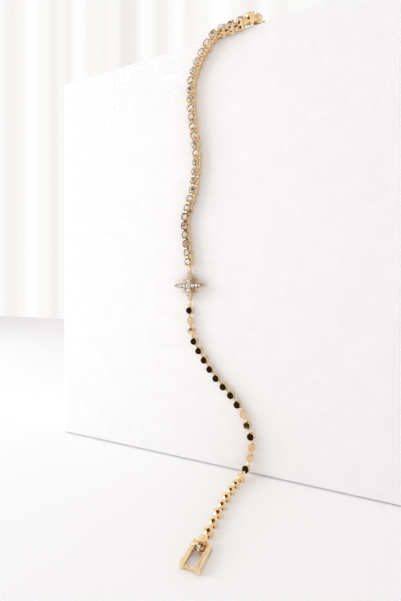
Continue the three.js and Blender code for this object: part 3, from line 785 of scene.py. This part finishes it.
# %% Where the mirror faces look
CARD_Y = -105.0
CARD_LEFT = -75.0
CARD_RIGHT = -2.0
CARD_TOP = 39.0
CARD_FOOT = 0.2
CARD_MARGIN = 7.0
MOST_LEAN = math.radians(20)
FIRST_DOMED = 19
LAST_DOMED = 25
ROCK = math.radians(24)
ROCK_ASIDE = math.radians(-6)
FACING_AWAY = -0.05

# Faces that look past the card, by bead from the star: millimetres across and up in its plane
LOOKS_PAST = {
    2: (8, 36),
    3: (-40, CARD_FOOT - 0.6),
    12: (14, 30),
    13: (-30, CARD_FOOT + 1.3),
    15: (16, 25),
    16: (18, 20),
    18: (-20, CARD_FOOT + 0.2),
}


def look_target(number, middle, outward, to_camera):
    if number in LOOKS_PAST:
        across, up = LOOKS_PAST[number]
        return Vector((across, CARD_Y, up))
    mirrored = 2 * outward.dot(to_camera) * outward - to_camera
    distance = (CARD_Y - middle.y) / mirrored.y if mirrored.y < FACING_AWAY else 1.0
    hit = middle + mirrored * distance
    across = min(max(hit.x, CARD_LEFT + CARD_MARGIN), CARD_RIGHT - CARD_MARGIN)
    up = min(max(hit.z, CARD_MARGIN), CARD_TOP - CARD_MARGIN)
    return Vector((across, CARD_Y, up))


def bead_place(number, index):
    place = placement(index)
    unturned = place @ Matrix.Translation((0, 0, STRING_HEIGHT))
    if number > LAST_DOMED:
        return unturned
    if number >= FIRST_DOMED:
        rocked = Matrix.Rotation(ROCK, 4, "X") @ Matrix.Rotation(ROCK_ASIDE, 4, "Y")
        return unturned @ rocked
    outward = place.to_3x3().col[2]
    middle = place @ Vector((0, 0, STRING_HEIGHT))
    to_camera = (CAMERA_PLACE / MM - middle).normalized()
    to_target = (look_target(number, middle, outward, to_camera) - middle).normalized()
    lean = outward.rotation_difference((to_camera + to_target).normalized())
    share = min(1.0, MOST_LEAN / max(lean.angle, 1e-6))
    swing = Matrix.Rotation(lean.angle * share, 4, lean.axis)
    print("bead", number, "leans", round(math.degrees(lean.angle * share), 1), "degrees")
    return Matrix.Translation(middle) @ swing @ place.to_3x3().to_4x4()


bead_places = [bead_place(k + 1, index) for k, index in enumerate(bead_indices)]

# %% Drum beads
BEAD_FACE_RADIUS = 0.78
BEAD_BELT = 0.5
BEAD_SIDES = 32
EDGE = 0.02
half_depth = BEAD_DEPTH / 2
half_belt = BEAD_BELT / 2


def both_ways(half_profile):
    lower = [(radius, -height) for radius, height in half_profile]
    return lower + list(reversed(half_profile))


drum_half = [
    (BEAD_FACE_RADIUS - EDGE, half_depth), (BEAD_FACE_RADIUS, half_depth - EDGE),
    (BEAD_RADIUS - EDGE / 2, half_belt + EDGE), (BEAD_RADIUS, half_belt - EDGE)]
drum_form = turned_form("drum_form", both_ways(drum_half), BEAD_SIDES, sharp_degrees=15)
flat_beads = bead_places[:FIRST_DOMED - 1] + bead_places[LAST_DOMED:]
beads = repeat_form("drum_beads", drum_form, flat_beads, mirror_gold)
hand_over(beads, "gold_beads", "bead_chain")

# %% Domed beads
DOME_RADIUS = 1.2
DOME_STEPS = 7
dome_half = []
for step in range(1, DOME_STEPS + 1):
    around = math.asin(BEAD_FACE_RADIUS / DOME_RADIUS) * step / DOME_STEPS
    dome_half.append((DOME_RADIUS * math.sin(around), half_depth - DOME_RADIUS * (1 - math.cos(around))))
dome_half += [(BEAD_RADIUS, half_belt), (BEAD_RADIUS, half_belt - EDGE)]
dome_form = turned_form("dome_form", both_ways(dome_half), BEAD_SIDES)
domed = repeat_form("domed_beads", dome_form, bead_places[FIRST_DOMED - 1:LAST_DOMED], mirror_gold)
hand_over(domed, "gold_beads")
drop(drum_form, dome_form)

# %% The drilled mouths where the rods go in, at both ends of every bead
# The mouths carry the painted shade of the drilled holes, in dark brown.
MOUTH_RADIUS = 0.36
MOUTH_DEPTH = 0.16
MOUTH_RISE = 0.04
MOUTH_LIP = 0.03
mouth_form = turned_form("mouth_form", [
    (MOUTH_RADIUS, -MOUTH_DEPTH), (MOUTH_RADIUS, MOUTH_RISE - MOUTH_LIP),
    (MOUTH_RADIUS - MOUTH_LIP, MOUTH_RISE)], sides=16)
mouth_places = []
for bead in bead_places:
    for side in (-1, 1):
        out_of_end = Matrix.Rotation(-side * math.pi / 2, 4, "X")
        mouth_places.append(bead @ Matrix.Translation((0, side * BEAD_RADIUS, 0)) @ out_of_end)
mouths = repeat_form("bead_mouths", mouth_form, mouth_places, painted_mouth_shade)
hand_over(mouths, "gold_beads")
drop(mouth_form)

# %% Rods and end eyes of the beads
BEAD_ROD_RADIUS = 0.26
flat_places = [placement(i) for i in bead_indices]
bead_middles = [m @ Vector((0, 0, STRING_HEIGHT)) for m in flat_places]
neck_end = flat_places[0] @ Vector((0, bead_eye + BEAD_NECK - EYE_RADIUS, STRING_HEIGHT))
bead_rods = list(zip(bead_middles, bead_middles[1:])) + [(bead_middles[0], neck_end)]
bead_wire = draw_wire("bead_rods", [], bead_rods, BEAD_ROD_RADIUS, RING_SIDES, bright_gold)
hand_over(bead_wire, "gold_beads")
bead_eyes = [eye_loop(flat_places[0], bead_eye + BEAD_NECK), eye_loop(flat_places[-1], -bead_eye)]
bead_rings = draw_wire("bead_end_eyes", bead_eyes, [], WIRE_RADIUS, RING_SIDES, link_gold)
hand_over(bead_rings, "gold_beads")

# %% [markdown]
# Four closed links join the halves to the star, the clasp and the hook. They are bent from wire and
# pass upright through the flat eyes, so the chain can hinge.

# %% Links
CLASP_LINK_REACH = eye_to_bar + CROSSBAR_RADIUS + EYE_SPACE + WIRE_RADIUS
up_eye = STAR_UP_ARM + eye_beyond_tip
down_eye = -STAR_DOWN_ARM - eye_beyond_tip
link_loops = [
    upright_loop(star_place, up_eye, up_eye + eye_to_eye),
    upright_loop(star_place, down_eye - eye_to_eye, down_eye),
    upright_loop(flat_places[-1], -bead_eye - CLASP_LINK_REACH, -bead_eye),
    upright_loop(cup_places[-1], cup_eye, cup_eye + eye_to_eye),
]
links = draw_wire("closed_links", link_loops, [], WIRE_RADIUS, RING_SIDES, link_gold)
hand_over(links, "gold_settings", "link_above_star", "link_below_star", "link_at_clasp", "link_at_hook")

# %% [markdown]
# The star is cast in one piece, with a pocket for each stone. The CAD body already has that form, so
# a copy of it is merged and its edges are softened, as a polishing wheel would. Grains of metal
# raised beside the stones hold them.

# %% A softened copy of a CAD body
MERGE_DISTANCE = 1e-7
FLAT_WITHIN = math.radians(1)
SOFTENED_FROM = math.radians(35)
SHARP_FROM = math.radians(30)


def softened_copy(node, name, radius, material, steps=2):
    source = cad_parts[node]
    mesh = source.data.copy()
    form = bmesh.new()
    form.from_mesh(mesh)
    bmesh.ops.remove_doubles(form, verts=form.verts, dist=MERGE_DISTANCE)
    bmesh.ops.dissolve_limit(form, angle_limit=FLAT_WITHIN, verts=form.verts, edges=form.edges)
    form.to_mesh(mesh)
    form.free()
    mesh.materials.clear()
    mesh.materials.append(material)
    obj = bpy.data.objects.new(name, mesh)
    bpy.context.scene.collection.objects.link(obj)
    bevel = obj.modifiers.new("polished_edges", "BEVEL")
    bevel.width = radius * MM
    bevel.segments = steps
    bevel.limit_method = "ANGLE"
    bevel.angle_limit = SOFTENED_FROM
    ready = obj.evaluated_get(bpy.context.evaluated_depsgraph_get())
    finished = bpy.data.meshes.new_from_object(ready)
    obj.modifiers.remove(bevel)
    obj.data = finished
    finished.shade_smooth()
    finished.set_sharp_from_angle(angle=SHARP_FROM)
    print(name, "has", len(finished.polygons), "faces")
    return obj


STAR_SOFTENING = 0.035
star = softened_copy("star_body", "star_casting", STAR_SOFTENING, cast_gold)
hand_over(star, "gold_settings", "star_body")

# %% Stones and grains of the star
STAR_FRONT = 2.1
CENTRE_STONE_RADIUS = 0.62
SIDE_STONE_RADII = [0.45, 0.37, 0.28]
UPRIGHT_STONE_RADII = [0.42, 0.33, 0.25]
STONE_SPACE = 0.06
STONE_SINK_SHARE = 0.06
STAR_SEED = 3
GRAIN_RADIUS = 0.085
GRAIN_ASIDE_SHARE = 0.8

star_arms = [(0, "up", UPRIGHT_STONE_RADII), (90, "left", SIDE_STONE_RADII)]
star_arms += [(180, "down", UPRIGHT_STONE_RADII), (270, "right", SIDE_STONE_RADII)]
stone_rows = [("star_stone_centre", CENTRE_STONE_RADIUS, 0.0, 0.0)]
grain_rows = []
for degrees, arm_name, radii in star_arms:
    angle = math.radians(degrees + 90)
    ahead = Vector((math.cos(angle), math.sin(angle)))
    aside = Vector((-ahead.y, ahead.x))
    reached = CENTRE_STONE_RADIUS
    for k, radius in enumerate(radii):
        middle = ahead * (reached + STONE_SPACE + radius)
        stone_rows.append((f"star_stone_{arm_name}_{k + 1}", radius, middle.x, middle.y))
        gap = ahead * (reached + STONE_SPACE / 2)
        side = aside * (radius * GRAIN_ASIDE_SHARE + GRAIN_RADIUS)
        grain_rows.extend([gap + side, gap - side])
        reached += STONE_SPACE + 2 * radius
    grain_rows.append(ahead * (reached + GRAIN_RADIUS))

star_stone_places = []
for _, radius, x, y in stone_rows:
    sunk = STAR_FRONT - radius * STONE_SINK_SHARE
    star_stone_places.append(star_place @ Matrix.Translation((x, y, sunk)))
star_radii = [row[1] for row in stone_rows]
star_stones = set_stones_at("star_stones", star_stone_places, star_radii, STAR_SEED, star_zirconia)
hand_over(star_stones, "stones", *[row[0] for row in stone_rows])

grain_form = turned_form("grain_form", [
    (0.7, -1.0), (0.95, -0.3), (1.0, 0.2), (0.8, 0.62), (0.35, 0.92)], sides=10, sharp_degrees=80)
grain_places = [star_place @ Matrix.Translation((g.x, g.y, STAR_FRONT)) for g in grain_rows]
grains = repeat_form(
    "star_grains", grain_form, grain_places, bright_gold, [GRAIN_RADIUS] * len(grain_places))
hand_over(grains, "gold_settings")
drop(grain_form, stone_form)

# %% [markdown]
# The clasp frame and the hidden hook are plain polished pieces, so softened copies of the CAD bodies
# are enough for them. Each rail has a round strip soldered along its inner side, so it reads as
# two bands with a thin dark line between them.

# %% Clasp
FRAME_SOFTENING = 0.05
HOOK_SOFTENING = 0.08
STRIP_RADIUS = 0.2
STRIP_DROP = 0.3
STRIP_END_GAP = 0.05
clasp = softened_copy("clasp_frame", "clasp_frame_satin", FRAME_SOFTENING, clasp_gold, 3)
hand_over(clasp, "gold_clasp", "clasp_frame")
frame_place = placement(frame_index)
strip_reach = (FRAME_WIDTH - RAIL_WIDTH) / 2 - RAIL_WIDTH / 2
strip_height = FRAME_HEIGHT - STRIP_DROP
strip_ends = (CROSSBAR_SETBACK - STRIP_END_GAP, CROSSBAR_SETBACK - FRAME_LENGTH + STRIP_END_GAP)
strip_lines = []
for side in (-1, 1):
    ends = [frame_place @ Vector((side * strip_reach, y, strip_height)) for y in strip_ends]
    strip_lines.append(ends)
strips = draw_wire("clasp_inner_strips", [], strip_lines, STRIP_RADIUS, ROD_SIDES, clasp_gold)
hand_over(strips, "gold_clasp")
hook = softened_copy("clasp_hook", "clasp_hook_satin", HOOK_SOFTENING, clasp_gold, 3)
hand_over(hook, "gold_clasp", "clasp_hook")

# %% [markdown]
# The block is board under a white canvas-grained paper. The paper is folded in under the board, so
# the block stands on a base board a little smaller than itself, and the slit under its edge is the
# thin dark line along the table. The block is stacked up from rings of one rounded rectangle. The
# threads of such a paper are about 0.3 mm apart, too fine to show, so they are drawn coarser. One
# of the two sets of threads is turned by 45 degrees, so that it crosses the front and the ends alike.

# %% White grained paper
THREAD = 0.8 * MM
FIBRE = 0.12 * MM
GRAIN_DEPTH = 0.045 * MM
TONE_PATCH = 4 * MM
WAVES_PER_UNIT = 3.1
TURNED_SCALE = 1.41
paper, tree = new_material("canvas_grained_paper")
place = add_node(tree, "ShaderNodeTexCoord").outputs["Object"]
waver = add_node(tree, "ShaderNodeTexNoise", {"Vector": place, "Scale": 1 / TONE_PATCH, "Detail": 2.0})
shade = add_node(tree, "ShaderNodeValToRGB", {"Fac": waver.outputs["Fac"]})
shade.color_ramp.elements[0].color = linear("#F4F4F5")
shade.color_ramp.elements[1].color = linear("#FAFAFB")
weave_scale = 1 / THREAD / WAVES_PER_UNIT
quarter_turned = add_node(tree, "ShaderNodeMapping", {
    "Vector": place, "Rotation": (0, 0, math.radians(45)), "Scale": (TURNED_SCALE, TURNED_SCALE, 1)})
warp = add_node(tree, "ShaderNodeTexWave", {
    "Vector": place, "Scale": weave_scale, "Distortion": 1.5, "Detail": 1.0}, bands_direction="Z")
weft = add_node(tree, "ShaderNodeTexWave", {
    "Vector": quarter_turned.outputs["Vector"], "Scale": weave_scale, "Distortion": 1.5,
    "Detail": 1.0}, bands_direction="X")
fibres = add_node(tree, "ShaderNodeTexNoise", {"Vector": place, "Scale": 1 / FIBRE, "Detail": 4.0})
woven = add_node(tree, "ShaderNodeMath", {
    0: warp.outputs["Fac"], 1: weft.outputs["Fac"]}, operation="MULTIPLY")
grained = add_node(tree, "ShaderNodeMath", {
    0: woven.outputs[0], 1: fibres.outputs["Fac"]}, operation="ADD")
relief = add_node(tree, "ShaderNodeBump", {
    "Height": grained.outputs[0], "Strength": 0.6, "Distance": GRAIN_DEPTH})
shader = add_node(tree, "ShaderNodeBsdfPrincipled", {
    "Base Color": shade.outputs["Color"], "Roughness": 0.9, "Normal": relief.outputs["Normal"]})
add_node(tree, "ShaderNodeOutputMaterial", {"Surface": shader.outputs["BSDF"]})
print("paper ready")

# %% Block
BLOCK_CORNER_RADIUS = 2.0
CORNER_STEPS = 9
EDGE_STEPS = 6
BASE_INSET = 1.2
SLIT_HEIGHT = 0.3
FOLD_RADIUS = 0.15
FOLD_EASE = 0.04
block_middle = (block_low + block_high) / 2
block_half = (block_high - block_low) / 2


def block_ring(inset, height):
    radius = max(BLOCK_CORNER_RADIUS - inset, 0.01)
    ring = []
    for corner, (side_x, side_y) in enumerate(((1, 1), (-1, 1), (-1, -1), (1, -1))):
        for step in range(CORNER_STEPS):
            angle = (corner + step / (CORNER_STEPS - 1)) * math.pi / 2
            shift_x = side_x * (block_half.x - inset - radius) + radius * math.cos(angle)
            shift_y = side_y * (block_half.y - inset - radius) + radius * math.sin(angle)
            ring.append((block_middle.x + shift_x, block_middle.y + shift_y, block_low.z + height))
    return ring


block_rings = [
    (BASE_INSET, 0), (BASE_INSET, SLIT_HEIGHT), (FOLD_RADIUS, SLIT_HEIGHT),
    (FOLD_EASE, SLIT_HEIGHT + FOLD_EASE), (0, SLIT_HEIGHT + FOLD_RADIUS)]
for step in range(EDGE_STEPS + 1):
    angle = math.pi / 2 * step / EDGE_STEPS
    drop_in = BLOCK_EDGE_RADIUS * (1 - math.cos(angle))
    block_rings.append((drop_in, 2 * block_half.z - BLOCK_EDGE_RADIUS * (1 - math.sin(angle))))
block_points = [point for inset, height in block_rings for point in block_ring(inset, height)]
around = 4 * CORNER_STEPS
block_faces = [tuple(reversed(range(around)))]
for row in range(len(block_rings) - 1):
    for k in range(around):
        low, after = row * around + k, row * around + (k + 1) % around
        block_faces.append((low, after, after + around, low + around))
block_faces.append(tuple((len(block_rings) - 1) * around + k for k in range(around)))
block = mesh_object("block_cover", block_points, block_faces)
block_mesh = block.data
block_mesh.materials.append(paper)
block_mesh.shade_smooth()
block_mesh.set_sharp_from_angle(angle=SHARP_FROM)
hand_over(block, "block_cover", "display_block")
print("block has", len(block_mesh.polygons), "faces")

# %% [markdown]
# The set is a matt white table that curves up far behind the block. A soft light on the left, like a
# window, gives the gentle shadows to the right. A weak warm light from the right and a white surround
# fill them. What polished gold mirrors is staged too: a dark card in front, a brown disc above it and
# a cream card on the right. They cast no shadow and the camera looks through them.

# %% Table and backdrop
TABLE_REACH = 0.9
TABLE_HALF_WIDTH = 1.2
TABLE_BACK = 0.30
CURVE_RADIUS = 0.12
CURVE_STEPS = 12
BACKDROP_HEIGHT = 1.0
white_board, tree = new_material("matt_white_board")
shader = add_node(tree, "ShaderNodeBsdfPrincipled", {"Base Color": linear("#FCFCFC"), "Roughness": 0.85})
add_node(tree, "ShaderNodeOutputMaterial", {"Surface": shader.outputs["BSDF"]})

side_line = [(-TABLE_REACH, 0.0), (TABLE_BACK, 0.0)]
for k in range(1, CURVE_STEPS + 1):
    angle = math.radians(90 * k / CURVE_STEPS)
    side_line.append((TABLE_BACK + CURVE_RADIUS * math.sin(angle), CURVE_RADIUS * (1 - math.cos(angle))))
side_line.append((TABLE_BACK + CURVE_RADIUS, BACKDROP_HEIGHT))
table_sides = (-TABLE_HALF_WIDTH, TABLE_HALF_WIDTH)
table_points = [(x / MM, y / MM, z / MM) for y, z in side_line for x in table_sides]
table_faces = [(2 * k, 2 * k + 1, 2 * k + 3, 2 * k + 2) for k in range(len(side_line) - 1)]
table = mesh_object("table", table_points, table_faces)
table.data.materials.append(white_board)
table.data.shade_smooth()
print("table has", len(table_faces), "faces")

# %% [markdown]
# The far backdrop is a bright white sheet. It glows as if lit by daylight, with painted shade of soft
# folds in stripes of tone that run straight down, so one noise that is stretched along its height makes
# them.

# %% Glowing backdrop sheet
FOLD_WIDTH = 46 * MM
SHEET_Y = 290.0
SHEET_HALF_WIDTH = 1200.0
SHEET_HEIGHT = 1000.0
glow, tree = new_material("white_sheet_in_daylight")
place = add_node(tree, "ShaderNodeTexCoord").outputs["Object"]
straight_down = add_node(tree, "ShaderNodeMapping", {"Vector": place, "Scale": (1, 0, 0)})
# Painted shade of the sheet's folds, as stripes that run straight down.
painted_fold_shade = add_node(tree, "ShaderNodeTexNoise", {
    "Vector": straight_down.outputs["Vector"], "Scale": 1 / FOLD_WIDTH, "Detail": 1.0})
fold_shade_tone = add_node(tree, "ShaderNodeValToRGB", {"Fac": painted_fold_shade.outputs["Fac"]})
fold_shade_tone.color_ramp.elements[0].position = 0.3
fold_shade_tone.color_ramp.elements[0].color = linear("#EEEAE6")
fold_shade_tone.color_ramp.elements[1].position = 0.58
fold_shade_tone.color_ramp.elements[1].color = linear("#FDFDFD")
shader = add_node(tree, "ShaderNodeEmission", {"Color": fold_shade_tone.outputs["Color"], "Strength": 1.0})
add_node(tree, "ShaderNodeOutputMaterial", {"Surface": shader.outputs["Emission"]})
sheet = mesh_object("backdrop_sheet", [
    (-SHEET_HALF_WIDTH, SHEET_Y, 0), (SHEET_HALF_WIDTH, SHEET_Y, 0),
    (SHEET_HALF_WIDTH, SHEET_Y, SHEET_HEIGHT), (-SHEET_HALF_WIDTH, SHEET_Y, SHEET_HEIGHT)],
    [(0, 1, 2, 3)])
sheet.data.materials.append(glow)
sheet.visible_diffuse = False
sheet.visible_shadow = False
print("sheet stands", SHEET_Y, "mm back")

# %% A flat glowing tone for cards that only mirrors see
def flat_tone(name, colour):
    material, tree = new_material(name)
    shader = add_node(tree, "ShaderNodeEmission", {"Color": linear(colour), "Strength": 1.0})
    add_node(tree, "ShaderNodeOutputMaterial", {"Surface": shader.outputs["Emission"]})
    return material


def show_in_mirrors_only(card):
    card.visible_camera = False
    card.visible_diffuse = False
    card.visible_shadow = False


# %% Dark card with its disc, and the cream card
DISC_MIDDLE = Vector((-24, -62, 60))
DISC_RADIUS = 42.0
CREAM_X = 260
CREAM_FRONT = -260
CREAM_BACK = 80
CREAM_TOP = 240
card_points = [
    (CARD_LEFT, CARD_Y, CARD_FOOT), (CARD_RIGHT, CARD_Y, CARD_FOOT), (CARD_RIGHT, CARD_Y, CARD_TOP),
    (CARD_LEFT, CARD_Y, CARD_TOP)]
card_points += loop_points(DISC_MIDDLE, Vector((1, 0, 0)), Vector((0, 1, 0)), DISC_RADIUS)
card = mesh_object("dark_card", card_points, [(0, 1, 2, 3), tuple(range(4, len(card_points)))])
card.data.materials.append(flat_tone("dark_card", "#2C2115"))
card.data.materials.append(flat_tone("brown_disc", "#6A4522"))
card.data.polygons[1].material_index = 1
card.visible_transmission = False
show_in_mirrors_only(card)

cream_card = mesh_object("bright_card", [
    (CREAM_X, CREAM_FRONT, 0), (CREAM_X, CREAM_BACK, 0), (CREAM_X, CREAM_BACK, CREAM_TOP),
    (CREAM_X, CREAM_FRONT, CREAM_TOP)], [(0, 1, 2, 3)])
cream_card.data.materials.append(flat_tone("cream_card", "#FFF3E2"))
show_in_mirrors_only(cream_card)
print("cards ready")

# %% Light
SURROUND_STRENGTH = 0.76
OBJECT_MIDDLE = (0.0, -0.03, 0.04)
world = bpy.data.worlds.new("white_surround")
world.use_nodes = True
surround = world.node_tree.nodes["Background"]
surround.inputs["Color"].default_value = linear("#FEFBFA")
surround.inputs["Strength"].default_value = SURROUND_STRENGTH
bpy.context.scene.world = world


def soft_light(name, place, target, size, watts, colour):
    data = bpy.data.lights.new(name, "AREA")
    data.shape = "SQUARE"
    data.size = size
    data.energy = watts
    data.color = linear(colour)[:3]
    lamp = bpy.data.objects.new(name, data)
    lamp.location = place
    lamp.rotation_euler = (Vector(target) - Vector(place)).to_track_quat("-Z", "Y").to_euler()
    lamp.visible_camera = False
    bpy.context.scene.collection.objects.link(lamp)


soft_light("window_left", (-0.32, -0.18, 0.14), OBJECT_MIDDLE, 0.22, 0.6, "#F6FAFF")
soft_light("warm_wall_right", (0.42, -0.38, 0.04), OBJECT_MIDDLE, 0.3, 0.3, "#FFEBD6")
bpy.context.scene.view_settings.view_transform = "Standard"
print("lights ready")
